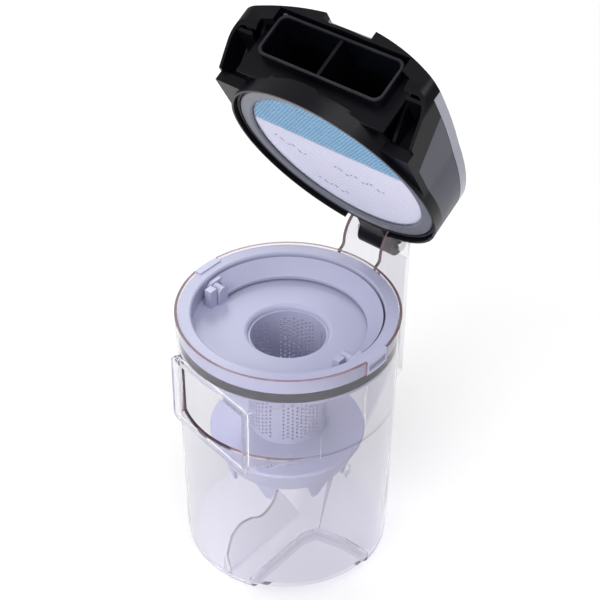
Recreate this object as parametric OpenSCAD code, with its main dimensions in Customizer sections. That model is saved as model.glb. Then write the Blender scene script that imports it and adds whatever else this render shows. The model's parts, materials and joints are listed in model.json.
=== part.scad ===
// Cyclonic dust bin of a canister vacuum cleaner, with its lid standing open.
// The origin is at the middle of the underside, on the axis of the round bin.
// +Z is up, +Y points to the hinge at the back and -Y to the inlet at the front.

/* [Bin] */
// Height of the clear bin, from its underside to its rim
bin_h = 199; // [170:1:240]
// Outer diameter of the bin at its rim
rim_d = 150; // [125:1:190]
// How much narrower the bin is at its base than at its rim
draft_d = 5.6; // [2:0.2:12]
// Thickness of the clear side wall
bin_wall = 1.8; // [1.4:0.1:2.6]
// Thickness of the bin's floor
floor_t = 2.2; // [1.6:0.1:4]
// Radius of the round edge under the bin
base_round = 8; // [4:0.5:14]
// Depth of the recess under the front right of the floor
recess_h = 9; // [5:0.5:14]
// Height of the dust fin that stands on the floor
fin_h = 43; // [24:1:50]

/* [Inlet duct] */
// Width of the inlet mouth
inlet_w = 73; // [55:1:84]
// Height of the inlet duct outside
inlet_h = 50; // [36:1:60]
// Distance from the rim down to the roof of the duct
inlet_drop = 19; // [16:0.5:30]
// Thickness of the duct walls
duct_wall = 2; // [1.4:0.1:3]

/* [Hinge] */
// Height of the pin above the rim
pin_up = 4.5; // [3:0.5:10]
// Distance of the pin behind the rim
pin_back = 25; // [23.5:0.5:34]
// Diameter of the hinge pin
pin_d = 5; // [4:0.25:6.5]
// Gap between the two hinge ears
ear_gap = 29; // [24:0.5:36]
// Thickness of each hinge ear
ear_t = 2.4; // [1.8:0.1:4]
// Clearance round a pin in the part that turns on it
running_fit = 0.08; // [0.03:0.01:0.1]

/* [Separator] */
// Gap between the separator and the inside of the bin
bin_gap = 0.45; // [0.3:0.05:0.8]
// Wall thickness of the separator bowl
bowl_t = 2; // [1.5:0.1:3]
// Width of the flat band round the top of the bowl
band_w = 8.5; // [6:0.5:11]
// Depth of the bowl below its top band
dish_h = 16.5; // [14:0.5:22]
// Outer diameter of the perforated tube
tube_d = 54; // [40:1:64]
// Length of the perforated tube
tube_h = 74; // [50:1:84]
// Outer diameter of the umbrella disc below the tube
disc_d = 108; // [84:1:116]
// Height of the skirt under the umbrella disc
skirt_h = 18; // [10:1:24]
// Number of pointed teeth under the skirt
teeth = 8; // [6:1:14]
// Height of the rubber seal
seal_h = 8; // [5:0.5:10]
// Width of each key that locates the bowl in the rim
key_w = 20.4; // [12:0.2:26]

/* [Swing handle] */
// Width of the handle band, seen from above
grip_w = 9.5; // [7:0.5:13]
// Thickness of the handle band
grip_t = 2.4; // [1.8:0.1:4]
// Distance of the handle pivots in front of the middle
pivot_front = 7; // [4:0.5:12]
// Diameter of the handle pivots
pivot_d = 3.5; // [3:0.25:5]

/* [Lid] */
// Angle that the lid stands open
lid_open = 59; // [0:1:84]
// How far the lid reaches out past the rim over its round back
lid_over = 3; // [2:0.5:7]
// How far the front lip reaches out past the rim
front_over = 2; // [1:0.5:9]
// Height of the lid above the rim at its highest point
lid_h = 62; // [54:1:74]
// Radius of the arch across the top of the lid
arch_r = 165; // [130:5:260]
// Wall thickness of the lid's shells
lid_wall = 2.2; // [1.6:0.1:3]
// Outer width of the double outlet port
port_w = 97; // [70:1:104]
// Outer height of the double outlet port
port_h = 32; // [22:1:34]
// Height of the lower edge of the port above the rim
port_up = 19.5; // [17:0.5:24]
// Width of the notch in the front lip
notch_w = 38; // [28:1:46]
// Travel of the release button
button_travel = 2.4; // [1.5:0.1:2.6]

/* [Filter] */
// How far inside the rim's outer edge the filter frame ends
frame_gap = 1.4; // [1.2:0.1:5]
// Width of the filter frame's ring
ring_w = 8.6; // [6:0.1:14]
// Thickness of the blue foam
foam_t = 9; // [5:0.5:12]

/* [Hidden] */
$fn = 96;

rim_r = rim_d / 2;
base_r = (rim_d - draft_d) / 2;
hinge_y = rim_r + pin_back;
hinge_z = bin_h + pin_up;
eps = 0.01;
big = 400;

// Separator: heights measured from the base of the bin
bowl_r = rim_r - bin_wall - bin_gap - 0.2;
bowl_top = bin_h - 1;
lip_z = bin_h - 11.7;
groove_r = bowl_r - 3.2;
recess_r = bowl_r - band_w;
dish_z = bowl_top - dish_h;
tube_r = tube_d / 2;
tube_t = 1.5;
collar_t = 1.8;
mouth_z = dish_z - 3.5;
collar_h = 6;
tube_top = mouth_z - bowl_t;
tube_z = tube_top - tube_h;
disc_r = disc_d / 2;
disc_t = 2;
disc_fall = 6;
plug_h = 4;
skirt_z = tube_z - disc_fall - skirt_h;
skirt_r = disc_r - 8;
tooth_h = 15;
tooth_w = 16;
tooth_turn = 22.5;
key_h = 11;
key_fit = 0.3;

// Swing handle
pivot_z = bowl_top - 8;
grip_r = recess_r - 1.4;
grip_drop = 9.6;
lug_w = 3;
lug_r = 4.6;
post_w = 8;
post_d = 8;
block_w = 5.5;
block_y = 18;
block_d = 6;
block_top = bin_h - 4;
pivot_x = grip_r - lug_w;

// Column and ears behind the bin
column_w = ear_gap + 2 * ear_t;
column_back = hinge_y + 12;
column_z = bin_h - 116;
column_taper = 28;
ear_r = 22;
ear_up = 19.5;
ear_foot = 30;
back_wall_top = bin_h - 14;

// Inlet duct: its mouth turned a little to the right of straight ahead
mouth_turn = -9.5;
mouth_left = [-38, -rim_r + 4];
duct_z = bin_h - inlet_drop - inlet_h;
mouth_straight = 4;
frame_w = 2;
frame_t = 2.5;

// Lid: heights above the rim with the lid shut
lid_r = rim_r + lid_over;
lid_front = rim_r + front_over;
frame_r = rim_r - frame_gap;
net_r = frame_r - ring_w;
lid_gap = 0.5;
skirt_d = 2.5;
skirt_t = 1.5;
seal_top = 3;
rail_top = 5;
collar_top = 8;
cap_edge = 6;
side_x = lid_r - 2;
corner_r = 9;
lip_y = lid_front - 6.5;
lip_h = 10;
lip_gap = 1.6;
notch_d = 7;
plate_y = lid_front - 10;
pocket_y = lid_front - 31;
pocket_x = port_w / 2 + 9;
corner_y = lid_front - 22;
cover_low_y = 41 - lid_front;
cover_high_y = 25 - lid_front;
cheek_low_y = 22 - lid_front;
cheek_high_y = 3 - lid_front;
slant_h = 32;
hinge_cut_w = 36;
tab_top = 11.7;
tab_t = 2;
tab_end = 13;
ear_room = 2;
shelf_z = 30;
shelf_w = 15;
shelf_t = 2;
shelf_y = lid_front - 5;
wall_low_y = lid_front - 28;
wall_lean_z = 46;
port_face = lid_front - 3.5;
port_depth = 26;
port_wall = 2.4;
port_r = 6;
port_top = port_up + port_h;
knuckle_w = ear_gap - 1.2;
knuckle_r = 9;
arm_w = 20;
arm_top = 22;
screw_angles = [35, 145, 210, 330];
screw_r = frame_r - 2;
screw_d = 3;
screw_head_d = 5;
screw_head_h = 1.6;
seat_t = 3.2;
filter_fit = 0.35;
filter_lip = 0.6;
button_w = notch_w - 5;
button_d = 9;
button_t = 2;
button_z = lid_h - 4.8;
button_skirt = port_top + button_travel + 0.4;
spring_d = 6;
spring_wire = 0.7;
spring_h = button_z - port_top - 0.1;
spring_turns = 4;
chord_y = 16;

function bin_r(z) = base_r + (rim_r - base_r) * z / bin_h;
function arc(cx, cy, r, a0, a1, n) = [for (i = [0 : n]) [
    cx + r * cos(a0 + (a1 - a0) * i / n),
    cy + r * sin(a0 + (a1 - a0) * i / n),
]];
// How far the top of the lid has fallen below its arch at a distance y behind the middle
function top_fall(y) = 0.00145 * pow(max(0, y + 60), 2);

// Shapes shared by several pieces

module spin(points, from = 0, sweep = 360) {
    rotate_extrude(angle = sweep, start = from)
        polygon(points);
}

// Extrudes an outline drawn in Y and Z along X, centred on x = 0
module along_x(width) {
    translate([-width / 2, 0, 0])
        rotate([90, 0, 90])
            linear_extrude(width)
                children();
}

module tube_x(d, width, y, z) {
    translate([-width / 2, y, z])
        rotate([0, 90, 0])
            cylinder(h = width, d = d);
}

// Places a piece drawn shut, with z = 0 at the rim, on the open lid
module on_lid() {
    translate([0, hinge_y, hinge_z])
        rotate([-lid_open, 0, 0])
            translate([0, -hinge_y, -pin_up])
                children();
}

module round_rect(w, h, r) {
    translate([r, 0])
        square([w - 2 * r, h]);
    translate([0, r])
        square([w, h - 2 * r]);
    for (x = [r, w - r], y = [r, h - r])
        translate([x, y])
            circle(r);
}

// Clear bin

module bin_body(inset, bottom, top) {
    round_r = max(1, base_round - inset);
    foot_r = base_r - inset;
    spin(concat(
        [[0, bottom]],
        arc(foot_r - round_r, bottom + round_r, round_r, 270, 360, 8),
        [[rim_r - inset + (top - bin_h) * draft_d / 2 / bin_h, top], [0, top]]
    ));
}

module floor_recess(grow, bottom, top) {
    translate([0, 0, bottom])
        linear_extrude(top - bottom)
            polygon([
                [25 - grow, -big], [25 - grow, -10 + grow / 2], [29 - grow / 2, -1 + grow],
                [49, 4 + grow], [big, 4 + grow], [big, -big],
            ]);
}

module column_shape(inset, top) {
    polygon([
        [0, column_z - column_taper + inset],
        [bin_r(column_z) - 2, column_z - column_taper + inset],
        [column_back - inset, column_z + inset],
        [column_back - inset, top],
        [0, top],
    ]);
}

module ear_shape() {
    top = hinge_z + ear_up;
    intersection() {
        union() {
            translate([hinge_y, hinge_z])
                circle(ear_r);
            translate([hinge_y - ear_r, bin_h - ear_foot])
                square([column_back - hinge_y + ear_r, ear_foot + pin_up]);
        }
        translate([0, bin_h - ear_foot])
            square([column_back, top - bin_h + ear_foot]);
    }
    difference() {
        translate([bin_r(bin_h) - 6, bin_h - 6])
            square([hinge_y - ear_r - rim_r + 7, 11]);
        translate([hinge_y - ear_r - 5, bin_h + 5])
            circle(5);
        translate([0, bin_h + eps])
            square([hinge_y - ear_r - 5, 20]);
    }
}

module duct_plan(inset, reach) {
    side = [cos(mouth_turn), sin(mouth_turn)];
    ahead = [sin(mouth_turn), -cos(mouth_turn)];
    left = mouth_left + side * inset;
    right = mouth_left + side * (inlet_w - inset);
    tangent = (rim_r - 0.6 - inset) * [cos(-33), sin(-33)];
    polygon([
        left + ahead * reach,
        right + ahead * reach,
        right - ahead * mouth_straight,
        tangent,
        [30, -30],
        [mouth_left[0] + inset, -40],
        left - ahead * mouth_straight,
    ]);
}

module duct_block(inset, reach) {
    translate([0, 0, duct_z + inset])
        linear_extrude(inlet_h - 2 * inset)
            duct_plan(inset, reach);
}

module mouth_frame() {
    translate([mouth_left[0], mouth_left[1], duct_z])
        rotate([0, 0, mouth_turn])
            translate([0, frame_t, 0])
                rotate([90, 0, 0])
                    linear_extrude(frame_t)
                        translate([-frame_w, -frame_w])
                            round_rect(inlet_w + 2 * frame_w, inlet_h + 2 * frame_w, 5);
}

module dust_fin() {
    translate([0, 0, floor_t - eps])
        translate([3, 0, 0])
            rotate([90, 0, 90])
                linear_extrude(2)
                    polygon(concat(
                        [[10, 0], [-14, fin_h]],
                        arc(-30, fin_h + 2, 14, 350, 215, 8),
                        arc(-53, fin_h - 14, 11, 60, 130, 5),
                        [[-64, fin_h - 8], [-base_r + bin_wall + 2, fin_h - 22],
                        [-base_r + bin_wall + 6, 0]]
                    ));
}

module dust_bin() color([0.86, 0.88, 0.9, 0.35]) {
    difference() {
        union() {
            difference() {
                union() {
                    along_x(column_w) column_shape(0, back_wall_top);
                    for (side = [-1, 1])
                        translate([side * (ear_gap + ear_t) / 2, 0, 0])
                            along_x(ear_t) ear_shape();
                }
                along_x(ear_gap) column_shape(ear_t, bin_h);
            }
            duct_block(0, 0);
            mouth_frame();
            bin_body(0, 0, bin_h);
        }
        difference() {
            bin_body(bin_wall, floor_t, bin_h + 1);
            floor_recess(floor_t, -1, recess_h + floor_t);
        }
        duct_block(duct_wall, 5);
        floor_recess(0, -1, recess_h);
        for (turn = [0, 180])
            rotate([0, 0, turn])
                translate([rim_r - 10, -key_w / 2 - key_fit, bin_h - key_h - key_fit])
                    cube([20, key_w + 2 * key_fit, 20]);
        tube_x(pin_d, column_w + 1, hinge_y, hinge_z);
    }
    intersection() {
        dust_fin();
        bin_body(bin_wall / 2, 0, bin_h);
    }
}

// Hinge pin with a flat head at one end and a spring clip at the other

module hinge_pin() color([0.62, 0.63, 0.65]) {
    groove_x = -column_w / 2 - 1.4;
    difference() {
        union() {
            tube_x(pin_d, column_w + 6, hinge_y, hinge_z);
            translate([column_w / 2, hinge_y, hinge_z])
                rotate([0, 90, 0])
                    cylinder(h = 1.6, d = pin_d + 3.4);
        }
        translate([column_w / 2 + 1.6, hinge_y - 10, hinge_z - 10])
            cube([10, 20, 20]);
        translate([groove_x, hinge_y, hinge_z])
            rotate([0, 90, 0])
                difference() {
                    cylinder(h = 1.2, d = pin_d + 2);
                    translate([0, 0, -1])
                        cylinder(h = 4, d = pin_d - 1.4);
                }
    }
}

module pin_clip() color([0.5, 0.51, 0.53]) {
    translate([-column_w / 2 - 1.3, hinge_y, hinge_z])
        rotate([0, 90, 0])
            difference() {
                cylinder(h = 1, d = pin_d + 4);
                translate([0, 0, -1])
                    cylinder(h = 3, d = pin_d - 1.2);
                translate([-1.4, 0, -1])
                    cube([2.8, 10, 3]);
            }
}

// Separator: a bowl that hangs in the rim, its seal, the tube and the umbrella disc

module bowl_profile() {
    mouth_r = tube_r - 0.2;
    under = dish_z - bowl_t;
    polygon(concat(
        [
            [recess_r, bowl_top - 1.5], [recess_r + 1, bowl_top - 0.6], [bowl_r, bowl_top],
            [bowl_r, lip_z], [groove_r, lip_z], [groove_r, lip_z - seal_h - 0.4],
            [bowl_r - 0.8, lip_z - seal_h - 0.4], [bowl_r - 0.8, lip_z - seal_h - 2.4],
            [recess_r + bowl_t, lip_z - seal_h - 2.4], [recess_r + bowl_t, under],
            [tube_r + collar_t + 1, mouth_z - bowl_t],
            [tube_r + collar_t, mouth_z - bowl_t - 1], [tube_r + collar_t, tube_top - collar_h],
            [tube_r, tube_top - collar_h], [tube_r, tube_top], [mouth_r, tube_top],
        ],
        arc(mouth_r + 3, mouth_z - 1.2, 3, 180, 90, 6),
        [[recess_r - 2.5, dish_z], [recess_r, dish_z + 2.5]]
    ));
}

module bowl_key() {
    outer = rim_r - 0.1;
    translate([groove_r, -key_w / 2, bin_h - key_h])
        difference() {
            intersection() {
                cube([outer - groove_r + 5, key_w, key_h - 0.3]);
                translate([-groove_r, key_w / 2, -1])
                    cylinder(h = key_h + 2, r = outer);
            }
            translate([3.4, 1.8, 2])
                cube([20, key_w - 3.6, key_h - 5.5]);
        }
}

module separator_bowl() color([0.77, 0.78, 0.86]) {
    difference() {
        union() {
            rotate_extrude() bowl_profile();
            for (turn = [0, 180])
                rotate([0, 0, turn]) bowl_key();
            for (side = [-1, 1])
                translate([side * (pivot_x - post_w / 2 - 0.5), 0, 0]) {
                    translate([-post_w / 2, -pivot_front - post_d / 2, dish_z - 1])
                        cube([post_w, post_d, pivot_z - dish_z + 1]);
                    translate([-block_w / 2 - 0.5, -block_y, dish_z - 1])
                        cube([block_w, block_d, block_top - dish_z + 1]);
                    tube_x(post_d, post_w, -pivot_front, pivot_z);
                }
        }
        tube_x(pivot_d, 2 * recess_r + 4, -pivot_front, pivot_z);
    }
}

module bin_seal() color([0.11, 0.11, 0.12]) {
    out_r = bowl_r + 0.15;
    top = lip_z - 0.2;
    low = top - seal_h;
    spin([
        [groove_r, top], [out_r - 1, top], [out_r, top - 1], [out_r - 0.9, top - 2.6],
        [out_r - 0.9, low + 2.6], [out_r, low + 1], [out_r - 1, low], [groove_r, low],
    ]);
}

module screen_tube() color([0.8, 0.81, 0.88]) {
    translate([0, 0, tube_z])
        difference() {
            cylinder(h = tube_h, r = tube_r);
            translate([0, 0, -1])
                cylinder(h = tube_h + 2, r = tube_r - tube_t);
        }
}

module disc_teeth() {
    intersection() {
        spin([
            [skirt_r, skirt_z + eps], [skirt_r - 4, skirt_z - tooth_h],
            [skirt_r - 6, skirt_z - tooth_h], [skirt_r - disc_t, skirt_z + eps],
        ]);
        for (i = [0 : teeth - 1])
            rotate([0, 0, tooth_turn + i * 360 / teeth])
                rotate([90, 0, 90])
                    linear_extrude(disc_r)
                        polygon([
                            [-tooth_w / 2, skirt_z + 1], [tooth_w / 2, skirt_z + 1],
                            [2, skirt_z - tooth_h], [-2, skirt_z - tooth_h],
                        ]);
    }
}

module cyclone_disc() color([0.77, 0.78, 0.86]) {
    edge_z = tube_z - disc_fall;
    spin(concat(
        [[0, tube_z - disc_t], [0, tube_z], [tube_r - tube_t - 2, tube_z],
        [tube_r - tube_t - 2, tube_z + plug_h], [tube_r - tube_t, tube_z + plug_h], [tube_r - tube_t, tube_z],
        [tube_r + 1, tube_z]],
        arc(disc_r - 2, edge_z, 2, 70, -10, 5),
        [[skirt_r, skirt_z], [skirt_r - disc_t, skirt_z],
        [disc_r - disc_t - 1.5, edge_z - disc_t - 1.5], [tube_r, tube_z - disc_t]]
    ));
    disc_teeth();
}

module handle_pivots() color([0.66, 0.67, 0.7]) {
    inner = pivot_x - post_w - 0.5;
    for (side = [-1, 1])
        translate([side * (inner + recess_r + 1) / 2, 0, 0])
            tube_x(pivot_d, recess_r + 1 - inner, -pivot_front, pivot_z);
}

// Handle: a half ring that lies flat in the back of the bowl

module swing_handle() color([0.77, 0.78, 0.86]) {
    top = bowl_top - 3;
    start = -asin((pivot_front - 5.5) / grip_r);
    difference() {
        union() {
            spin([
                [grip_r, top], [grip_r, top - grip_t], [grip_r - grip_w, top - grip_drop - grip_t],
                [grip_r - grip_w - 0.6, top - grip_drop],
            ], start, 180 - 2 * start);
            for (side = [-1, 1])
                translate([side * (pivot_x + lug_w / 2), 0, 0]) {
                    tube_x(2 * lug_r, lug_w, -pivot_front, pivot_z);
                    translate([-lug_w / 2, -pivot_front, pivot_z - 2])
                        cube([lug_w, 7, 2 + lug_r]);
                }
        }
        tube_x(pivot_d + 2 * running_fit, 2 * rim_r, -pivot_front, pivot_z);
    }
}

// Lid. All its pieces are drawn shut, with z = 0 at the rim, and turned by on_lid.

module lid_plan(inset) {
    half = side_x - inset;
    front = lid_front - inset;
    r = max(1, corner_r - inset);
    circle(lid_r - inset);
    translate([-half, -front + r])
        square([2 * half, front - r]);
    translate([-half + r, -front])
        square([2 * (half - r), front]);
    for (side = [-1, 1])
        translate([side * (half - r), -front + r])
            circle(r);
}

// Everything below the arched top of the lid, lowered by a depth
module under_top(depth) {
    step = 10;
    ends = [for (y = [-90 : step : 90]) [arch_r - depth - top_fall(y), y]];
    translate([0, 0, lid_h - arch_r])
        rotate([-90, 0, 0])
            spin(concat([[0, -90]], ends, [[0, 90]]));
}

// The region behind the slanted front edge of the side covers
module behind_slant(bottom_y, top_y, height) {
    slope = (top_y - bottom_y) / height;
    along_x(big)
        polygon([
            [bottom_y - slope * 30, -30], [big, -30], [big, 120], [bottom_y + slope * 120, 120],
        ]);
}

module lid_ring(inset, wall, bottom, top) {
    translate([0, 0, bottom])
        linear_extrude(top - bottom)
            difference() {
                lid_plan(inset);
                lid_plan(inset + wall);
            }
}

module port_outline(inset) {
    translate([-port_w / 2 + inset, port_up + inset])
        round_rect(port_w - 2 * inset, port_h - 2 * inset, port_r - inset / 2);
}

module port_block(inset, front, depth) {
    translate([0, -front + depth, 0])
        rotate([90, 0, 0])
            linear_extrude(depth)
                port_outline(inset);
}

module collar_plan(inset) {
    circle(lid_r - inset);
    translate([-side_x + inset, -corner_y])
        square([2 * (side_x - inset), corner_y]);
}

module collar_layer(bottom, top, inner_r) {
    translate([0, 0, bottom])
        linear_extrude(top - bottom)
            difference() {
                collar_plan(0);
                circle(inner_r);
            }
}

// The rim of the lid: a skirt outside the bin, a rail over the seal and the filter's seat
module lid_collar() {
    difference() {
        union() {
            translate([0, 0, -skirt_d])
                linear_extrude(skirt_d + lid_gap)
                    difference() {
                        circle(lid_r);
                        circle(lid_r - skirt_t);
                    }
            collar_layer(lid_gap, seal_top, lid_r - skirt_t);
            collar_layer(seal_top, collar_top, frame_r + filter_fit);
        }
        translate([-hinge_cut_w / 2, rim_r - 5, -skirt_d - 1])
            cube([hinge_cut_w, 30, skirt_d + 1 + ear_room]);
    }
    translate([0, 0, collar_top])
        linear_extrude(seat_t)
            difference() {
                circle(frame_r + 1);
                circle(net_r + 1);
            }
}

// The low curved tab at the front of the collar, under the port
module front_tab() {
    intersection() {
        translate([0, 0, collar_top - 1])
            linear_extrude(tab_top)
                difference() {
                    circle(lid_r);
                    circle(lid_r - tab_t);
                }
        translate([0, -lid_r / 2, 0])
            rotate([90, 0, 0])
                linear_extrude(lid_r)
                    polygon([
                        [-31, 0], [-31, collar_top], [-28, tab_top - 1.2], [-24, tab_top - 2.4],
                        [-12, tab_top - 0.6], [-2, tab_top], [8, tab_top - 0.4],
                        [tab_end, collar_top], [tab_end, 0],
                    ]);
    }
}

// Room for the cover round the sides and the back
module cover_space() {
    intersection() {
        lid_ring(-1, 1 + lid_wall + 0.3, rail_top, lid_h);
        behind_slant(cover_low_y, cover_high_y, slant_h);
    }
}

// The front wall behind the port, and the pocket in each front corner
module front_plate() {
    difference() {
        intersection() {
            union() {
                translate([-pocket_x, -plate_y, collar_top - 1])
                    cube([2 * pocket_x, lid_wall, lid_h]);
                for (side = [-1, 1]) {
                    translate([side * (pocket_x + side_x - 1) / 2, 0, 0])
                        along_x(side_x - 1 - pocket_x)
                            polygon([
                                [-pocket_y, collar_top - 1], [-pocket_y + lid_wall, collar_top - 1],
                                [-pocket_y + lid_wall, lid_h], [-pocket_y, lid_h],
                            ]);
                    translate([side * pocket_x, 0, 0])
                        along_x(lid_wall)
                            polygon([
                                [-pocket_y + lid_wall, collar_top - 1], [-wall_low_y, collar_top - 1],
                                [-port_face, wall_lean_z], [-port_face, lid_h],
                                [-pocket_y + lid_wall, lid_h],
                            ]);
                    translate([side * (side_x - 1.5 - shelf_w / 2), 0, 0])
                        along_x(shelf_w)
                            polygon([
                                [-shelf_y, shelf_z], [-pocket_y, shelf_z],
                                [-pocket_y, shelf_z + shelf_t], [-shelf_y - 1, shelf_z + shelf_t],
                            ]);
                }
            }
            under_top(lid_wall + 0.2);
        }
        translate([-notch_w / 2, -lid_front, port_top])
            cube([notch_w, lid_front - plate_y + lid_wall + 1, lid_h]);
        cylinder(h = collar_top, r = frame_r + filter_fit);
    }
}

// The arched lip over the port, with a notch for the release button
module front_lip() {
    difference() {
        intersection() {
            linear_extrude(lid_h)
                lid_plan(0);
            translate([-big / 2, -lid_front - 1, 0])
                cube([big, lid_front + 1 - lip_y, big]);
            under_top(0);
        }
        under_top(lip_h);
        translate([-notch_w / 2, -big / 2, lid_h - notch_d])
            cube([notch_w, big, 20]);
        translate([-port_w / 2 - lip_gap, -big / 2, 0])
            cube([port_w + 2 * lip_gap, big, port_top + lip_gap]);
    }
    // ceiling of the corner pockets
    for (side = [-1, 1])
        intersection() {
            difference() {
                under_top(lid_wall + 0.2);
                under_top(2 * lid_wall);
            }
            translate([side * (pocket_x + side_x - 1) / 2 - (side_x - 1 - pocket_x) / 2, -lip_y - 1, 0])
                cube([side_x - 1 - pocket_x, lip_y + 1 - pocket_y, lid_h]);
        }
}

module side_cheeks() {
    difference() {
        intersection() {
            lid_ring(0, lid_wall, collar_top - 1, lid_h);
            under_top(cap_edge);
            behind_slant(cheek_low_y, cheek_high_y, slant_h);
        }
        translate([-pocket_x, -big / 2, 0])
            cube([2 * pocket_x, big, big]);
    }
}

module hinge_arm() {
    difference() {
        union() {
            along_x(arm_w)
                polygon([
                    [lid_r - 4, seal_top], [lid_r - 1, seal_top], [lid_r - 1, 0.8],
                    [hinge_y - 2, pin_up - 5], [hinge_y, pin_up + knuckle_r],
                    [lid_r - 2, arm_top], [lid_r - 4, arm_top],
                ]);
            tube_x(2 * knuckle_r, knuckle_w, hinge_y, pin_up);
        }
        tube_x(pin_d + 2 * running_fit, ear_gap, hinge_y, pin_up);
    }
}

// Room for the turned-down edge of the top cap
module cap_edge_space() {
    difference() {
        intersection() {
            lid_ring(-1, 1 + lid_wall + 0.2, collar_top, lid_h + 1);
            translate([-big / 2, -lip_y, 0])
                cube([big, big, big]);
        }
        under_top(cap_edge);
    }
}

module lid_shell() color([0.07, 0.07, 0.08]) {
    on_lid() {
        difference() {
            union() {
                difference() {
                    union() {
                        lid_collar();
                        front_tab();
                        front_plate();
                        port_block(0, port_face, port_depth);
                        front_lip();
                        side_cheeks();
                    }
                    cover_space();
                    for (side = [0, 1])
                        mirror([side, 0, 0])
                            intersection() {
                                port_block(port_wall, port_face + 1, port_depth + 2);
                                translate([port_wall / 2, -big / 2, 0])
                                    cube([big, big, big]);
                            }
                }
                hinge_arm();
            }
            for (a = screw_angles)
                rotate([0, 0, a])
                    translate([screw_r, 0, collar_top - 1]) {
                        cylinder(h = seat_t + 2, d = screw_d + 0.4);
                        cylinder(h = 1 + screw_head_h, d = screw_head_d + 0.4);
                    }
            cap_edge_space();
        }
    }
}

module lid_cover() color([0.36, 0.37, 0.39]) {
    on_lid()
        difference() {
            intersection() {
                lid_ring(0, lid_wall, rail_top + 0.1, lid_h);
                under_top(cap_edge + 0.1);
                behind_slant(cover_low_y + 0.3, cover_high_y + 0.3, slant_h);
            }
            translate([-arm_w / 2 - 0.3, 0, 0])
                cube([arm_w + 0.6, big, arm_top + 0.3]);
        }
}

module lid_cap() color([0.72, 0.73, 0.75]) {
    on_lid() {
        difference() {
            intersection() {
                linear_extrude(lid_h)
                    lid_plan(0);
                under_top(0);
                translate([-big / 2, -lip_y + 0.2, 0])
                    cube([big, big, big]);
            }
            difference() {
                under_top(lid_wall);
                lid_ring(0, lid_wall, 0, lid_h);
            }
            under_top(cap_edge);
            translate([-notch_w / 2, -big / 2, 0])
                cube([notch_w, big / 2 - lip_y + button_d + 1, big]);
        }
        for (a = screw_angles)
            rotate([0, 0, a])
                translate([screw_r, 0, collar_top + seat_t])
                    difference() {
                        intersection() {
                            cylinder(h = lid_h, d = screw_d + 3);
                            translate([-screw_r, 0, -collar_top - seat_t])
                                rotate([0, 0, -a])
                                    under_top(lid_wall - 0.6);
                        }
                        translate([0, 0, -1])
                            cylinder(h = 12, d = screw_d);
                    }
    }
}

module lid_screws() color([0.68, 0.69, 0.7]) {
    on_lid()
        for (a = screw_angles)
            rotate([0, 0, a])
                translate([screw_r, 0, collar_top])
                    difference() {
                        union() {
                            cylinder(h = seat_t + 9, d = screw_d);
                            cylinder(h = screw_head_h, d = screw_head_d);
                        }
                        for (turn = [0, 90])
                            rotate([0, 0, turn])
                                translate([-1.6, -0.4, -1])
                                    cube([3.2, 0.8, 1.8]);
                    }
}

module lid_seal() color([0.1, 0.1, 0.11]) {
    outer = lid_r - skirt_t;
    on_lid()
        spin([
            [frame_r + filter_fit, lid_gap + 0.8], [frame_r + 1, lid_gap], [outer - 0.8, lid_gap],
            [outer, lid_gap + 0.8], [outer, seal_top], [frame_r + filter_fit, seal_top],
        ]);
}

module port_gasket() color([0.2, 0.2, 0.21]) {
    on_lid()
        translate([0, -port_face, 0])
            rotate([90, 0, 0])
                linear_extrude(1.4)
                    difference() {
                        port_outline(0.2);
                        port_outline(port_wall - 0.4);
                    }
}

// Release button in the notch of the front lip, on its return spring

module release_button() color([0.6, 0.61, 0.64]) {
    on_lid()
        translate([-button_w / 2, -lip_y + 0.5, 0]) {
            translate([0, 0, button_z])
                cube([button_w, button_d, button_t]);
            translate([0, 0, button_skirt])
                cube([button_w, 2, button_z - button_skirt + eps]);
            translate([-3, button_d - 3, button_z - 0.3])
                cube([button_w + 6, 3, 1.2]);
        }
}

function ring_of(centre, normal_angle, r, sides) = [for (i = [0 : sides - 1]) [
    centre[0] + r * cos(i * 360 / sides) * cos(normal_angle),
    centre[1] + r * cos(i * 360 / sides) * sin(normal_angle),
    centre[2] + r * sin(i * 360 / sides),
]];

// A coil spring as one swept tube
module coil(r, wire, height, turns) {
    sides = 8;
    rings = 12 * turns;
    points = [for (k = [0 : rings]) each ring_of(
        [r * cos(k * 30), r * sin(k * 30), height * k / rings], k * 30, wire / 2, sides
    )];
    faces = concat(
        [for (k = [0 : rings - 1], i = [0 : sides - 1]) [
            k * sides + i, (k + 1) * sides + i,
            (k + 1) * sides + (i + 1) % sides, k * sides + (i + 1) % sides,
        ]],
        [[for (i = [0 : sides - 1]) i]],
        [[for (i = [sides - 1 : -1 : 0]) rings * sides + i]]
    );
    polyhedron(points, faces, convexity = 10);
}

module button_spring() color([0.75, 0.76, 0.78]) {
    on_lid()
        translate([0, -lip_y + 0.5 + button_d / 2 + 1, port_top + spring_wire / 2])
            coil(spring_d / 2, spring_wire, spring_h - spring_wire, spring_turns);
}

// Filter cartridge held in the ring of the lid

module filter_frame() color([0.5, 0.5, 0.54]) {
    on_lid() {
        spin([
            [net_r - filter_lip, lid_gap + 1.8], [net_r - filter_lip, lid_gap + 1.2],
            [net_r + 1, lid_gap], [frame_r - 1, lid_gap], [frame_r, lid_gap + 1],
            [frame_r, 7.4], [frame_r - 2, 7.4], [frame_r - 2, 3.5], [net_r + 2, 3.5],
            [net_r + 2, 7.4], [net_r, 7.4], [net_r, lid_gap + 1.8],
        ]);
    }
}

module filter_seal() color([0.16, 0.16, 0.17]) {
    on_lid()
        spin([[net_r + 3, 3.5], [frame_r - 3, 3.5], [frame_r - 3, 7.8], [net_r + 3, 7.8]]);
}

module filter_foam() color([0.45, 0.75, 0.88]) {
    on_lid()
        translate([0, 0, 4])
            cylinder(h = foam_t, r = net_r - 0.5);
}

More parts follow.
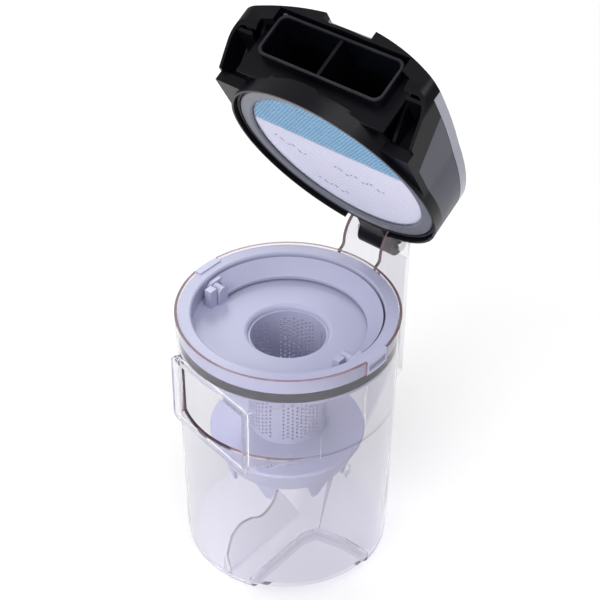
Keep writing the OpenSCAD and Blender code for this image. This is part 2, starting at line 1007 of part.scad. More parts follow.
module filter_felt() color([0.93, 0.94, 0.97]) {
    on_lid()
        translate([0, 0, 3])
            difference() {
                cylinder(h = 1, r = net_r - 0.1);
                translate([-big / 2, -chord_y - big, -1])
                    cube([big, big, 3]);
            }
}

module filter_net() color([0.9, 0.93, 0.97]) {
    on_lid()
        translate([0, 0, 2.3])
            cylinder(h = 0.7, r = net_r - 0.1);
}

dust_bin();
hinge_pin();
pin_clip();
separator_bowl();
bin_seal();
screen_tube();
cyclone_disc();
handle_pivots();
swing_handle();
lid_shell();
lid_cover();
lid_cap();
lid_seal();
lid_screws();
port_gasket();
release_button();
button_spring();
filter_frame();
filter_seal();
filter_foam();
filter_felt();
filter_net();
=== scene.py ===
"""Looks of a clear cyclone dust bin with its filter lid standing open.

Lengths are in metres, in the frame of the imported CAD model: the bin stands on z = 0, its axis is
the Z axis, the hinge is towards +Y and the inlet towards -Y.
"""

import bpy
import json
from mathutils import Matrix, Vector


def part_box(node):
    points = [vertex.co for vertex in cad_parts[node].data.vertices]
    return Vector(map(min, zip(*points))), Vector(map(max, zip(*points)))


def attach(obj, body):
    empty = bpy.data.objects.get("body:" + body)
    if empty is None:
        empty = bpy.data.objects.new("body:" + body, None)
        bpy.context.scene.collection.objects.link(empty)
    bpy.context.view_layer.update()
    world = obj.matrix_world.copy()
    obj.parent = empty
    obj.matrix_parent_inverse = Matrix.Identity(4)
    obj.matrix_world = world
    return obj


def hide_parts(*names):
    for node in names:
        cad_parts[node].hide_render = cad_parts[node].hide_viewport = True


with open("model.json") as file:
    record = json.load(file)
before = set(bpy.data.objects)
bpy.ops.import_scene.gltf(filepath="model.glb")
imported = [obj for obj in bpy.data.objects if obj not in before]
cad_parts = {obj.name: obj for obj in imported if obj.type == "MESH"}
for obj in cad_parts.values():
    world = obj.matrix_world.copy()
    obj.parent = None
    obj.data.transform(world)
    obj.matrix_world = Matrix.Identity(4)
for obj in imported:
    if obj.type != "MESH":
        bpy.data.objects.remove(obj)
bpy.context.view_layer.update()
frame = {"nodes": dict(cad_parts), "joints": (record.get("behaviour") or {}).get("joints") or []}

import json
import math
from collections import namedtuple

import bmesh
import bpy
from mathutils import Matrix, Vector, noise

MM = 0.001
nodes = frame["nodes"]
scene = bpy.context.scene


# Camera, floor and light


def add_camera():
    azimuth, elevation, roll = math.radians(39.5), math.radians(37.6), math.radians(0.77)
    target, distance = Vector((5.9, 4.8, 205.4)) * MM, 982 * MM
    towards = Vector(
        (
            math.sin(azimuth) * math.cos(elevation),
            -math.cos(azimuth) * math.cos(elevation),
            math.sin(elevation),
        )
    )
    data = bpy.data.cameras.new("camera")
    data.lens, data.sensor_width = 90, 36
    data.clip_start, data.clip_end = 0.05, 20
    camera = bpy.data.objects.new("camera", data)
    scene.collection.objects.link(camera)
    facing = towards.to_track_quat("Z", "Y").to_matrix().to_4x4()
    camera.matrix_world = (
        Matrix.Translation(target + towards * distance) @ facing @ Matrix.Rotation(roll, 4, "Z")
    )
    scene.camera = camera


def add_area_light(name, place, aim, size, watts):
    data = bpy.data.lights.new(name, "AREA")
    data.shape, data.size, data.size_y = "RECTANGLE", *size
    data.energy = watts
    light = bpy.data.objects.new(name, data)
    scene.collection.objects.link(light)
    place, aim = Vector(place), Vector(aim)
    light.matrix_world = (
        Matrix.Translation(place) @ (place - aim).to_track_quat("Z", "Y").to_matrix().to_4x4()
    )


def add_studio():
    """A white room, three lamps, and a wide round floor just under the bin."""
    world = bpy.data.worlds.new("studio")
    world.use_nodes = True
    world.node_tree.nodes["Background"].inputs["Color"].default_value = (1, 1, 1, 1)
    world.node_tree.nodes["Background"].inputs["Strength"].default_value = 0.6
    scene.world = world
    middle = (0, 0, 0.2)
    add_area_light("key", (-1.0, 0.75, 1.1), middle, (0.6, 0.6), 8)
    add_area_light("front", (0.1, -1.5, 0.9), middle, (1.0, 0.8), 14)
    add_area_light("top", (0.4, -0.3, 1.9), middle, (1.1, 0.9), 10.5)
    scene.view_settings.view_transform = "Standard"
    glass_bounces = 32
    scene.cycles.max_bounces = glass_bounces
    scene.cycles.transmission_bounces = glass_bounces
    scene.cycles.transparent_max_bounces = glass_bounces

    floor_mesh = bpy.data.meshes.new("floor")
    floor_radius, floor_segments, floor_drop = 4.0, 96, 0.2 * MM
    bm = bmesh.new()
    bmesh.ops.create_circle(bm, cap_ends=True, radius=floor_radius, segments=floor_segments)
    bm.to_mesh(floor_mesh)
    bm.free()
    floor = bpy.data.objects.new("floor", floor_mesh)
    scene.collection.objects.link(floor)
    floor.location.z = -floor_drop
    floor.data.materials.append(floor_material())


# Materials


class Shader:
    """A material's node tree, with short names for what these materials need."""

    def __init__(self, name):
        self.material = bpy.data.materials.new(name)
        self.material.use_nodes = True
        self.tree = self.material.node_tree
        self.surface = self.tree.nodes["Principled BSDF"]
        self.place = self.add("ShaderNodeTexCoord").outputs["Object"]

    def add(self, kind, **values):
        node = self.tree.nodes.new(kind)
        for key, value in values.items():
            setattr(node, key, value)
        return node

    def link(self, source, target):
        self.tree.links.new(source, target)

    def set(self, **values):
        for key, value in values.items():
            self.surface.inputs[key.replace("_", " ")].default_value = value

    def feed(self, **sockets):
        for key, socket in sockets.items():
            self.link(socket, self.surface.inputs[key.replace("_", " ")])

    def mapped(self, scale, turn=(0, 0, 0)):
        node = self.add("ShaderNodeMapping")
        node.inputs["Scale"].default_value = scale
        node.inputs["Rotation"].default_value = turn
        self.link(self.place, node.inputs["Vector"])
        return node.outputs["Vector"]

    def noise(self, size, detail=3, roughness=0.5, stretch=(1, 1, 1), turn=(0, 0, 0)):
        """Noise whose features are about size metres across, times stretch on each axis."""
        node = self.add("ShaderNodeTexNoise")
        node.inputs["Scale"].default_value = 1
        node.inputs["Detail"].default_value = detail
        node.inputs["Roughness"].default_value = roughness
        self.link(self.mapped([1 / size / s for s in stretch], turn), node.inputs["Vector"])
        return node.outputs["Fac"]

    def cells(self, size):
        """The distance from the middle of the nearest cell, of cells about size metres across."""
        node = self.add("ShaderNodeTexVoronoi")
        node.inputs["Scale"].default_value = 1
        self.link(self.mapped([1 / size] * 3), node.inputs["Vector"])
        return node.outputs["Distance"]

    def spread(self, value, low, high, start=0.0, end=1.0):
        """Maps value from start..end to low..high, held at both ends."""
        node = self.add("ShaderNodeMapRange")
        limits = {"From Min": start, "From Max": end, "To Min": low, "To Max": high}
        for key, number in limits.items():
            node.inputs[key].default_value = number
        self.link(value, node.inputs["Value"])
        return node.outputs["Result"]

    def maths(self, operation, one, other=None):
        node = self.add("ShaderNodeMath", operation=operation)
        for socket, value in zip(node.inputs, (one, other)):
            if isinstance(value, (int, float)):
                socket.default_value = value
            elif value is not None:
                self.link(value, socket)
        return node.outputs[0]

    def blend(self, factor, one, other):
        """A colour between one and other, each a colour or a socket."""
        node = self.add("ShaderNodeMix", data_type="RGBA")
        mix, first, second = (node.inputs[i] for i in (0, 6, 7))
        for socket, value in ((first, one), (second, other)):
            if isinstance(value, bpy.types.NodeSocket):
                self.link(value, socket)
            else:
                socket.default_value = (*value, 1)
        self.link(factor, mix)
        return node.outputs[2]

    def bump(self, height, depth):
        """Bump from a height of 0..1 that stands for depth metres."""
        node = self.add("ShaderNodeBump")
        node.inputs["Strength"].default_value = 1
        node.inputs["Distance"].default_value = depth
        self.link(height, node.inputs["Height"])
        return node.outputs["Normal"]

    def ring(self, z, inner, outer):
        """1 on the flat ring at height z between two radii round the Z axis, and 0 elsewhere."""
        soft, lip, clear_of = 0.1 * MM, 0.2 * MM, 0.4 * MM
        axes = self.add("ShaderNodeSeparateXYZ")
        self.link(self.place, axes.inputs[0])
        x, y, height = axes.outputs
        square = self.maths("ADD", self.maths("MULTIPLY", x, x), self.maths("MULTIPLY", y, y))
        radius = self.maths("SQRT", square)
        mask = self.spread(radius, 0, 1, inner - lip, inner + soft)
        for edge in (
            self.spread(radius, 1, 0, outer, outer + lip + soft),
            self.spread(height, 0, 1, z - clear_of, z - lip),
            self.spread(height, 1, 0, z + lip, z + clear_of),
        ):
            mask = self.maths("MULTIPLY", mask, edge)
        return mask


def shade(colour, factor):
    return tuple(min(1.0, c * factor) for c in colour)


def floor_material():
    s = Shader("floor")
    s.set(Specular_IOR_Level=0.2)
    s.feed(
        Base_Color=s.blend(s.noise(0.4, detail=2), (0.90, 0.90, 0.90), (0.93, 0.93, 0.93)),
        Roughness=s.spread(s.noise(0.05), 0.75, 0.9),
    )
    return s.material


def plastic(
    name, colour, roughness=0.4, grain=0.25 * MM, depth=0.01 * MM, mottle=0.06, coat=0.0, gloss=0.5
):
    """Moulded plastic: faint clouding, a fine grain, and hairline handling marks in its gloss."""
    scuff_tint, scuff_gloss = 0.18, 0.07
    s = Shader(name)
    cloud = s.noise(26 * MM, detail=4, roughness=0.6)
    marks = s.noise(5 * MM, detail=5, roughness=0.7, stretch=(1, 14, 1), turn=(0.5, 0.3, 0.8))
    scuffs = s.spread(marks, 0, 1, start=0.62, end=0.72)
    body = s.blend(cloud, shade(colour, 1 - mottle), shade(colour, 1 + mottle))
    tint = s.maths("MULTIPLY", scuffs, scuff_tint)
    s.feed(Base_Color=s.blend(tint, body, shade(colour, 1.25)))
    rough = s.spread(cloud, roughness * 0.88, roughness * 1.12, start=0.3, end=0.7)
    s.feed(Roughness=s.maths("ADD", rough, s.maths("MULTIPLY", scuffs, scuff_gloss)))
    s.feed(Normal=s.bump(s.noise(grain, detail=2), depth))
    s.set(IOR=1.49, Specular_IOR_Level=gloss, Coat_Weight=coat, Coat_Roughness=0.12)
    return s.material


def rubber(name, colour):
    """Matt rubber with a patchy grey bloom."""
    s = Shader(name)
    bloom = s.spread(s.noise(9 * MM, detail=5, roughness=0.65), 0, 1, start=0.4, end=0.8)
    s.feed(
        Base_Color=s.blend(bloom, colour, shade(colour, 1.7)),
        Roughness=s.spread(bloom, 0.48, 0.7),
        Normal=s.bump(s.noise(0.3 * MM), 0.015 * MM),
    )
    s.set(Specular_IOR_Level=0.2)
    return s.material


def brushed_steel(name, colour):
    s = Shader(name)
    lines = s.noise(0.35 * MM, detail=4, roughness=0.7, stretch=(30, 1, 1))
    s.feed(
        Base_Color=s.blend(lines, shade(colour, 0.8), shade(colour, 1.1)),
        Roughness=s.spread(lines, 0.2, 0.38, start=0.3, end=0.7),
        Normal=s.bump(lines, 0.006 * MM),
    )
    s.set(Metallic=1.0)
    return s.material


def clear_plastic(name, colour, clearness, rough=0.015, ring=None, ring_shade_colour=None):
    """Clear moulded plastic with a faint milky haze and fine marks, and lamps let through.

    A ring, given as its height and two radii, takes a darker colour of its own, painted shade for
    the dark line that the wall's edge shows there.
    """
    s = Shader(name)
    haze = s.noise(30 * MM, detail=4, roughness=0.6)
    body = s.blend(haze, shade(colour, 0.975), colour)
    if ring is not None:
        body = s.blend(s.ring(*ring), body, ring_shade_colour)
    s.feed(Base_Color=body)
    marks = s.noise(3 * MM, detail=5, roughness=0.75, stretch=(1, 1, 16), turn=(0.2, 0.4, 0))
    s.feed(Roughness=s.spread(marks, rough, rough + 0.08, start=0.55, end=0.8))
    s.feed(Normal=s.bump(s.noise(16 * MM, detail=2), 0.05 * MM))
    s.set(Transmission_Weight=clearness, IOR=1.16)
    lamps = s.add("ShaderNodeBsdfTransparent")
    lamps.inputs["Color"].default_value = (*colour, 1)
    choose = s.add("ShaderNodeMixShader")
    s.link(s.add("ShaderNodeLightPath").outputs["Is Shadow Ray"], choose.inputs[0])
    s.link(s.surface.outputs[0], choose.inputs[1])
    s.link(lamps.outputs[0], choose.inputs[2])
    s.link(choose.outputs[0], s.tree.nodes["Material Output"].inputs["Surface"])
    return s.material


def open_foam(name, colour):
    """Open-cell foam, with painted shade in its pores."""
    s = Shader(name)
    pores = s.cells(0.9 * MM)
    cloud = s.noise(14 * MM)
    body = s.blend(cloud, shade(colour, 0.85), shade(colour, 1.15))
    pore_shade = s.spread(pores, 1, 0, start=0.1, end=0.55)
    # The pores' darker colour is painted shade in the foam's hollows.
    s.feed(
        Base_Color=s.blend(pore_shade, body, shade(colour, 0.45)),
        Normal=s.bump(pores, 0.35 * MM),
    )
    s.set(Roughness=0.85, Specular_IOR_Level=0.2, Sheen_Weight=0.08)
    return s.material


def felt_cloth(name, colour):
    """Needled felt: short fibres that lie in two directions."""
    s = Shader(name)
    fibre = {"size": 0.5 * MM, "detail": 5, "roughness": 0.75}
    along = s.noise(**fibre, stretch=(5, 1, 1), turn=(0, 0, 0.6))
    across = s.noise(**fibre, stretch=(1, 5, 1), turn=(0, 0, 0.2))
    tangle = s.maths("MULTIPLY", along, across)
    lit = s.spread(tangle, 0, 1, start=0.1, end=0.4)
    s.feed(
        Base_Color=s.blend(lit, shade(colour, 0.84), colour),
        Normal=s.bump(tangle, 0.3 * MM),
    )
    s.set(Roughness=0.9, Sheen_Weight=0.35, Sheen_Roughness=0.4)
    return s.material


def nylon(name, colour):
    s = Shader(name)
    s.feed(
        Base_Color=s.blend(s.noise(6 * MM), shade(colour, 0.92), colour),
        Roughness=s.spread(s.noise(2 * MM), 0.35, 0.55),
    )
    s.set(Specular_IOR_Level=0.5)
    return s.material


# Shared helpers


def joint_axis(name):
    return Vector(next(j for j in frame["joints"] if j["name"] == name)["axis"]).normalized()


def add_piece(name, mesh, body, material, stands_for=()):
    piece = bpy.data.objects.new(name, mesh)
    scene.collection.objects.link(piece)
    piece.data.materials.append(material)
    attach(piece, body)
    if stands_for:
        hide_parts(*stands_for)
    return piece


def mesh_from(name, points, faces):
    mesh = bpy.data.meshes.new(name)
    mesh.from_pydata([tuple(p) for p in points], [], faces)
    mesh.validate()
    mesh.shade_smooth()
    return mesh


def finish_node(name, material, edge):
    """Gives a CAD node its material, rounded edges and even shading."""
    node = nodes[name]
    normals = node.data.attributes.get("custom_normal")
    if normals:
        node.data.attributes.remove(normals)
    node.data.shade_smooth()
    node.data.materials.clear()
    node.data.materials.append(material)
    weld = node.modifiers.new("weld", "WELD")
    weld.merge_threshold = 0.002 * MM
    if edge:
        bevel = node.modifiers.new("edges", "BEVEL")
        bevel.width, bevel.segments = edge, 2
        bevel.limit_method, bevel.angle_limit = "ANGLE", math.radians(32)
        bevel.use_clamp_overlap = True
        bevel.miter_outer = "MITER_ARC"
    level = node.modifiers.new("shading", "WEIGHTED_NORMAL")
    level.keep_sharp, level.weight = True, 60


# Second materials on parts of two CAD nodes, as painted shade


def paint_shade_inside(name, material):
    """Gives the faces that look down into the shut lid the shell's near-black plastic, as painted
    shade inside the port.
    """
    node = nodes[name]
    down = joint_axis("filter_pull")
    facing_down = 0.35
    node.data.materials.append(material)
    for face in node.data.polygons:
        if face.normal.dot(down) > facing_down:
            face.material_index = 1


RIM_OVER_BOWL = 1 * MM
RIM_PAST_BOWL = 0.1 * MM
BIN_TAPER = 2.8 * MM
BIN_WALL = 1.8 * MM
RIM_BAND = 13 * MM
DUCT_LOW_Z = 100 * MM
EAR_SIDES = (14.5 * MM, 16.9 * MM)
FIN_SIDES = (3.3 * MM, 4.7 * MM)
FIN_TOP_Z = 60 * MM
SURFACE_GAP = 0.3 * MM
OUTSIDE_GAP = 0.25 * MM
PAINTED_MAUVE_SLOT, PAINTED_GREY_SLOT = 1, 2


def paint_edge_shade(name, mauve, grey):
    """Gives the clear bin's cut and narrow faces darker mauve and grey materials, painted shade for
    the dark lines that such edges show.
    """
    node = nodes[name]
    bowl_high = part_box("separator_bowl")[1]
    rim_z, rim_r = bowl_high.z + RIM_OVER_BOWL, bowl_high.x + RIM_PAST_BOWL
    base_r = rim_r - BIN_TAPER
    ear_inner, ear_outer = EAR_SIDES
    fin_left, fin_right = FIN_SIDES
    node.data.materials.append(mauve)
    node.data.materials.append(grey)
    for face in node.data.polygons:
        x, y, z = face.center
        outer = base_r + (rim_r - base_r) * z / rim_z
        radius = math.hypot(x, y)
        in_wall = outer - BIN_WALL + SURFACE_GAP < radius < outer - OUTSIDE_GAP
        at_rim = z > rim_z - RIM_BAND
        at_duct = z > DUCT_LOW_Z and x < 0 and abs(face.normal.z) < 0.9
        at_ear = z > rim_z + 0.5 * MM and ear_inner + SURFACE_GAP < abs(x) < ear_outer - SURFACE_GAP
        at_fin = radius < outer - BIN_WALL and z < FIN_TOP_Z and fin_left < x < fin_right
        if in_wall and (at_rim or at_duct):
            face.material_index = PAINTED_MAUVE_SLOT
        elif at_ear:
            if abs(face.normal.x) < 0.3:
                face.material_index = PAINTED_MAUVE_SLOT
        elif at_fin:
            face.material_index = PAINTED_GREY_SLOT


# The perforated tube

TUBE_WALL = 1.5 * MM
TUBE_LIP = 1.8 * MM
TUBE_PLAIN_FOOT = 3.6 * MM
TUBE_PLAIN_ENDS = 7 * MM
HOLE_ROWS = 3.2 * MM
HOLE_D = 1.55 * MM
PANELS = 5
PANEL_COLUMNS = 9
BLANK_COLUMNS = 2
PANEL_MIDDLE = math.radians(-29.3)
TUBE_COLUMNS = PANELS * (PANEL_COLUMNS + BLANK_COLUMNS)
COLUMN_TURN = 2 * math.pi / TUBE_COLUMNS
CELL_LEVELS = 4
FIRST_HOLE_LEVEL = 2
ANGLE_STEPS = 24


def height_key(height):
    """A height as a whole number of micrometres, so that equal heights meet."""
    return round(height / MM * 1e3)


def on_wall(radius, angle, height):
    return (radius * math.cos(angle), radius * math.sin(angle), height)


def hole_edge(bm, border, radius, angle, height):
    """The vertices of a round hole, one towards each vertex of the border round it."""
    ring = []
    for v in border:
        aside = (math.atan2(v.co.y, v.co.x) - angle + math.pi) % (2 * math.pi) - math.pi
        out = math.atan2(v.co.z - height, aside * radius)
        turned = angle + math.cos(out) * HOLE_D / 2 / radius
        ring.append(bm.verts.new(on_wall(radius, turned, height + math.sin(out) * HOLE_D / 2)))
    return ring


def wall_side(bm, radius, levels):
    """One side of the tube's wall: its vertices by place, and each hole's edge by its cell."""
    points, rings = {}, {}

    def point(angle, height):
        step = round(angle / COLUMN_TURN * ANGLE_STEPS) % (ANGLE_STEPS * TUBE_COLUMNS)
        key = (step, height_key(height))
        if key not in points:
            points[key] = bm.verts.new(on_wall(radius, angle, height))
        return points[key]

    start = PANEL_MIDDLE - PANEL_COLUMNS * COLUMN_TURN / 2
    last = len(levels) - 1
    for column in range(TUBE_COLUMNS):
        left = start + column * COLUMN_TURN
        middle, right = left + COLUMN_TURN / 2, left + COLUMN_TURN
        place = column % (PANEL_COLUMNS + BLANK_COLUMNS)
        lowest = FIRST_HOLE_LEVEL + CELL_LEVELS // 2 * (place % 2)
        k = 0
        while k < last:
            fits = place < PANEL_COLUMNS and k >= lowest and k + CELL_LEVELS < last
            if fits and (k - lowest) % CELL_LEVELS == 0:
                zs = levels[k : k + CELL_LEVELS + 1]
                border = [point(left, z) for z in zs]
                border += [point(middle, zs[-1])]
                border += [point(right, z) for z in reversed(zs)]
                border += [point(middle, zs[0])]
                ring = hole_edge(bm, border, radius, middle, (zs[0] + zs[-1]) / 2)
                for i in range(len(border)):
                    j = (i + 1) % len(border)
                    bm.faces.new((border[i], border[j], ring[j], ring[i]))
                rings[(column, k)] = ring
                k += CELL_LEVELS
            else:
                low, high = levels[k], levels[k + 1]
                for one, other in ((left, middle), (middle, right)):
                    corners = ((one, low), (one, high), (other, high), (other, low))
                    bm.faces.new([point(*corner) for corner in corners])
                k += 1
    return points, rings


def perforated_tube():
    """A tube with five panels of staggered round holes, with plain strips between them."""
    low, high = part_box("screen_tube")
    rows = int((high.z - low.z - TUBE_PLAIN_ENDS) / HOLE_ROWS)
    foot = low.z + TUBE_PLAIN_FOOT
    levels = [low.z, low.z + TUBE_LIP]
    levels += [foot + i * HOLE_ROWS / CELL_LEVELS for i in range(CELL_LEVELS * rows + 3)]
    levels += [high.z]
    bm = bmesh.new()
    outer, outer_rings = wall_side(bm, high.x, levels)
    inner, inner_rings = wall_side(bm, high.x - TUBE_WALL, levels)
    for key, ring in outer_rings.items():
        other = inner_rings[key]
        for i in range(len(ring)):
            j = (i + 1) % len(ring)
            bm.faces.new((ring[i], ring[j], other[j], other[i]))
    for height in (levels[0], levels[-1]):
        steps = [key for key in sorted(outer) if key[1] == height_key(height)]
        for one, other in zip(steps, steps[1:] + steps[:1]):
            bm.faces.new((outer[one], outer[other], inner[other], inner[one]))
    bmesh.ops.recalc_face_normals(bm, faces=bm.faces)
    for face in bm.faces:
        face.smooth = True
    for edge in bm.edges:
        if len(edge.link_faces) == 2 and edge.calc_face_angle(0) > math.radians(40):
            edge.smooth = False
    mesh = bpy.data.meshes.new("perforated_tube")
    bm.to_mesh(mesh)
    bm.free()
    return mesh


# The filter's net, felt, stitches and foam, built flat and then turned into the open lid

FELT_CHORD = 16 * MM
FELT_TOP_Z = -0.42 * MM
FELT_T = 0.95 * MM
FELT_SWELL = 0.06 * MM
FOAM_UNDER_FELT_Z = -1.45 * MM
FOAM_FRONT_Z = -0.62 * MM
FOAM_BACK_Z = -10.2 * MM
FOAM_LUMP = 0.12 * MM
NET_WAVE = 0.09 * MM
NET_DRIFT = 0.35 * MM
Thread = namedtuple("Thread", "slant pitch half_width half_height")
THICK = Thread(math.radians(51), 2.0 * MM, 0.145 * MM, 0.11 * MM)
THIN = Thread(math.radians(-54), 1.0 * MM, 0.06 * MM, 0.07 * MM)


def clamp(value):
    return max(0.0, min(1.0, value))


def lid_frame():
    """A matrix from the filter's own frame, with z = 0 in the net and z out of the lid."""
    node = nodes["filter_net"].data
    centre = sum((v.co for v in node.vertices), Vector()) / len(node.vertices)
    out = joint_axis("filter_pull")
    across = Vector((1, 0, 0))
    turn = Matrix((across, out.cross(across), out)).transposed().to_4x4()
    return Matrix.Translation(centre) @ turn


def filter_net():
    """Two sets of slanting threads that pass over and under each other, cut to a disc."""
    place = lid_frame()
    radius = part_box("filter_net")[1].x - 0.4 * MM
    points, faces = [], []
    for number, (thread, crossed) in enumerate(((THICK, THIN), (THIN, THICK))):
        slant, pitch, half_width, half_height = thread
        along = Vector((math.cos(slant), math.sin(slant), 0))
        across = Vector((-along.y, along.x, 0))
        step = crossed.pitch / math.sin(THICK.slant - THIN.slant)
        corners = ((half_width, 0), (0, half_height), (-half_width, 0), (0, -half_height))
        count = int(radius / pitch)
        for k in range(-count, count + 1):
            reach = math.sqrt(max(0, radius**2 - (k * pitch) ** 2))
            steps = int(2 * reach / step)
            if steps < 3:
                continue
            first = len(points)
            for i in range(steps + 1):
                t = -reach + 2 * reach * i / steps
                wave = (1 if (i + k + number) % 2 else -1) * NET_WAVE
                drift = noise.noise(Vector((t / MM / 9, k / 5, number * 7))) * NET_DRIFT
                middle = along * t + across * (k * pitch + drift) + Vector((0, 0, wave))
                for side, lift in corners:
                    points.append(place @ (middle + across * side + Vector((0, 0, lift))))
            for i in range(steps):
                for j in range(4):
                    base, other = first + 4 * i + j, first + 4 * i + (j + 1) % 4
                    faces.append((base, other, other + 4, base + 4))
    return mesh_from("net_threads", points, faces), radius


def filter_felt():
    """The felt: a disc without its front part, with a hand-cut, slightly ragged edge."""
    place = lid_frame()
    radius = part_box("filter_felt")[1].x - 0.5 * MM
    columns, rows, width_share = 150, 70, 0.985
    top, area = [], 0.0
    for i in range(columns + 1):
        a = radius * width_share * math.sin((i / columns - 0.5) * math.pi)
        edge = math.sqrt(radius**2 - a**2)
        torn = noise.fractal(Vector((a / MM / 2.2, 0, 3)), 1, 2, 4)
        left = clamp((-a / radius - 0.35) / 0.5)
        low = -edge + (0.6 + abs(torn) * (0.8 + 3.2 * left)) * MM
        high = FELT_CHORD + 0.5 * MM * noise.noise(Vector((a / MM / 14, 5, 0)))
        high = min(high + 0.15 * torn * MM, edge - (0.5 + 2.0 * left * abs(torn)) * MM)
        low = min(low, high - 0.6 * MM)
        for j in range(rows + 1):
            b = low + (high - low) * j / rows
            swell = noise.noise(Vector((a / MM / 16, b / MM / 16, 1)))
            top.append(Vector((a, b, FELT_TOP_Z + FELT_SWELL * swell)))
    wide = rows + 1
    faces = []
    for i in range(columns):
        for j in range(rows):
            quad = (i * wide + j, (i + 1) * wide + j, (i + 1) * wide + j + 1, i * wide + j + 1)
            faces.append(quad)
            one, two, three, four = (top[k] for k in quad)
            area += ((three - one).cross(four - two)).length / 2
    border = [i * wide for i in range(columns + 1)]
    border += [columns * wide + j for j in range(1, rows + 1)]
    border += [i * wide + rows for i in range(columns - 1, -1, -1)]
    border += [j for j in range(rows - 1, 0, -1)]
    lower = len(top)
    points = top + [p - Vector((0, 0, FELT_T)) for p in top]
    faces += [tuple(lower + k for k in reversed(face)) for face in faces]
    for one, two in zip(border, border[1:] + border[:1]):
        faces.append((two, one, lower + one, lower + two))
    return mesh_from("felt_sheet", [place @ p for p in points], faces), area


def felt_stitches():
    """Plain wavy rows of blue running stitch in the felt, in millimetres until they are placed."""
    place = lid_frame()
    # Each row's first and last place across the lid, its height at both, its swing and its wave
    rows = (
        (-52, -30, 1, -9, 2.2, 11),
        (-6, 33, -9, -14, 2.4, 13),
        (-30, -8, -38, -44, 1.6, 10),
    )
    stitch, gap, thick, sides, segments = 2.6, 1.5, 0.72, 6, 4
    flatness, tip, middle_z = 0.4, 0.35, -0.32
    points, faces = [], []
    for start, end, low, high, swing, wave in rows:
        a = start
        while a < end:
            first = len(points)
            for i in range(segments + 1):
                at = a + stitch * i / segments
                b = low + (high - low) * (at - start) / (end - start)
                b += swing * math.sin(2 * math.pi * (at - start) / wave)
                size = thick * (tip if i in (0, segments) else 1)
                for j in range(sides):
                    turn = 2 * math.pi * j / sides
                    across, lift = size * math.cos(turn), flatness * size * math.sin(turn)
                    points.append(place @ (Vector((at, b + across, middle_z + lift)) * MM))
            for i in range(segments):
                for j in range(sides):
                    k = (j + 1) % sides
                    one, two = first + i * sides, first + (i + 1) * sides
                    faces.append((one + j, one + k, two + k, two + j))
            faces.append(tuple(first + j for j in reversed(range(sides))))
            faces.append(tuple(first + segments * sides + j for j in range(sides)))
            a += stitch + gap
    return mesh_from("felt_stitches", points, faces)


def filter_foam():
    """The foam disc: a little uneven, and higher in front of the felt than under it."""
    place = lid_frame()
    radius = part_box("filter_foam")[1].x - 0.1 * MM
    rings, sectors = 46, 150
    slope, rounding, drop, chamfer = 1.5 * MM, 1.8 * MM, 0.5 * MM, 0.7 * MM
    points, faces = [Vector((0, 0, FOAM_UNDER_FELT_Z))], []
    for i in range(1, rings + 1):
        r = radius * i / rings
        for j in range(sectors):
            a, b = r * math.cos(2 * math.pi * j / sectors), r * math.sin(2 * math.pi * j / sectors)
            front = clamp((b - FELT_CHORD) / slope)
            risen = (FOAM_FRONT_Z - FOAM_UNDER_FELT_Z) * front * front * (3 - 2 * front)
            lumps = noise.fractal(Vector((a / MM / 3, b / MM / 3, 9)), 1, 2, 3) * FOAM_LUMP
            level = FOAM_UNDER_FELT_Z + risen + lumps
            level -= drop * max(0.0, (r - radius + rounding) / rounding) ** 2
            points.append(Vector((a, b, level)))
    sides = ((0.0, -1.2 * MM), (0.0, FOAM_BACK_Z + 0.8 * MM), (chamfer, FOAM_BACK_Z))
    for shrink, level in sides:
        for j in range(sectors):
            a, b = math.cos(2 * math.pi * j / sectors), math.sin(2 * math.pi * j / sectors)
            low = min(level, points[1 + (rings - 1) * sectors + j].z - 0.3 * MM)
            points.append(Vector((a * (radius - shrink), b * (radius - shrink), low)))
    points.append(Vector((0, 0, FOAM_BACK_Z)))
    last_ring = rings + len(sides) - 1
    for j in range(sectors):
        k = (j + 1) % sectors
        faces.append((0, 1 + j, 1 + k))
        for i in range(last_ring):
            one, two = 1 + i * sectors, 1 + (i + 1) * sectors
            faces.append((one + j, two + j, two + k, one + k))
        last = 1 + last_ring * sectors
        faces.append((last + j, len(points) - 1, last + k))
    return mesh_from("foam_disc", [place @ p for p in points], faces)


add_camera()
add_studio()

LAVENDER = (0.44, 0.445, 0.60)
MATT_DEPTH, SMOOTH_DEPTH = 0.012 * MM, 0.004 * MM
DUCT_FLOOR_SHADE_RING = (132 * MM, 72.2 * MM, 74.1 * MM)
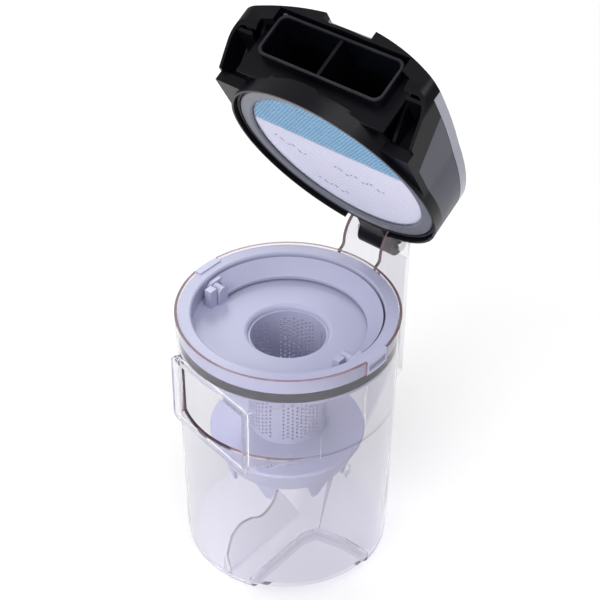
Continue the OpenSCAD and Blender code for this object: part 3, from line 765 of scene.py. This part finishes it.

# The dark red-brown ring where the duct's floor meets the wall and the mauve and grey edge
# materials are painted shade.
clear = clear_plastic(
    "clear_plastic",
    (0.882, 0.876, 0.905),
    0.94,
    ring=DUCT_FLOOR_SHADE_RING,
    ring_shade_colour=(0.20, 0.08, 0.10),
)
painted_mauve_edge_shade = clear_plastic("clear_plastic_mauve_edge", (0.36, 0.24, 0.27), 0.55, rough=0.2)
painted_grey_edge_shade = clear_plastic("clear_plastic_grey_edge", (0.60, 0.59, 0.64), 0.5, rough=0.2)
separator_plastic = plastic(
    "separator_plastic", LAVENDER, 0.36, depth=SMOOTH_DEPTH, mottle=0.03, gloss=0.35
)
tube_plastic = plastic("tube_plastic", (0.46, 0.46, 0.62), 0.35, depth=SMOOTH_DEPTH, mottle=0.03)
lid_plastic = plastic(
    "lid_plastic", (0.0025, 0.0025, 0.0045), 0.33, depth=MATT_DEPTH, mottle=0.2, gloss=0.16
)
cover_plastic = plastic("cover_plastic", (0.085, 0.088, 0.115), 0.42, depth=MATT_DEPTH, gloss=0.3)
cap_plastic = plastic("cap_plastic", (0.33, 0.335, 0.40), 0.3, depth=0.003 * MM, coat=0.3)
button_plastic = plastic("button_plastic", (0.2, 0.21, 0.25), 0.4)
frame_plastic = plastic("frame_plastic", (0.13, 0.135, 0.17), 0.38)
seal_rubber = rubber("seal_rubber", (0.012, 0.011, 0.016))
steel = brushed_steel("steel", (0.62, 0.62, 0.63))
foam = open_foam("foam", (0.001, 0.30, 0.52))
felt = felt_cloth("felt", (1.0, 0.87, 0.95))
net_nylon = nylon("net", (0.62, 0.72, 0.90))
blue_thread = nylon("blue_thread", (0.008, 0.06, 0.26))

finish_node("dust_bin", clear, 0.35 * MM)
# Painted shade: the bin's cut faces at the rim, duct, ears and fin take the darker edge materials.
paint_edge_shade("dust_bin", painted_mauve_edge_shade, painted_grey_edge_shade)
for name in ("separator_bowl", "cyclone_disc", "swing_handle"):
    finish_node(name, separator_plastic, 0.35 * MM)
for name in ("hinge_pin", "pin_clip", "handle_pivots", "lid_screws"):
    finish_node(name, steel, 0.2 * MM)
finish_node("button_spring", steel, 0)
for name in ("bin_seal", "lid_seal", "port_gasket", "filter_seal"):
    finish_node(name, seal_rubber, 0.3 * MM)
finish_node("lid_shell", lid_plastic, 0.4 * MM)
finish_node("lid_cover", cover_plastic, 0.4 * MM)
finish_node("lid_cap", cap_plastic, 0.5 * MM)
# The cap's inner faces take the black lid plastic as painted shade inside the port.
paint_shade_inside("lid_cap", lid_plastic)
finish_node("release_button", button_plastic, 0.4 * MM)
finish_node("filter_frame", frame_plastic, 0.4 * MM)
add_piece(
    "perforated_tube", perforated_tube(), "separator", tube_plastic, ["screen_tube"]
)

mesh, net_radius = filter_net()
net_piece = add_piece("net_threads", mesh, "filter", net_nylon, ["filter_net"])
mesh, felt_area = filter_felt()
felt_piece = add_piece("felt_sheet", mesh, "filter", felt, ["filter_felt"])
foam_piece = add_piece("foam_disc", filter_foam(), "filter", foam, ["filter_foam"])
stitches = add_piece("felt_stitches", felt_stitches(), "filter", blue_thread)
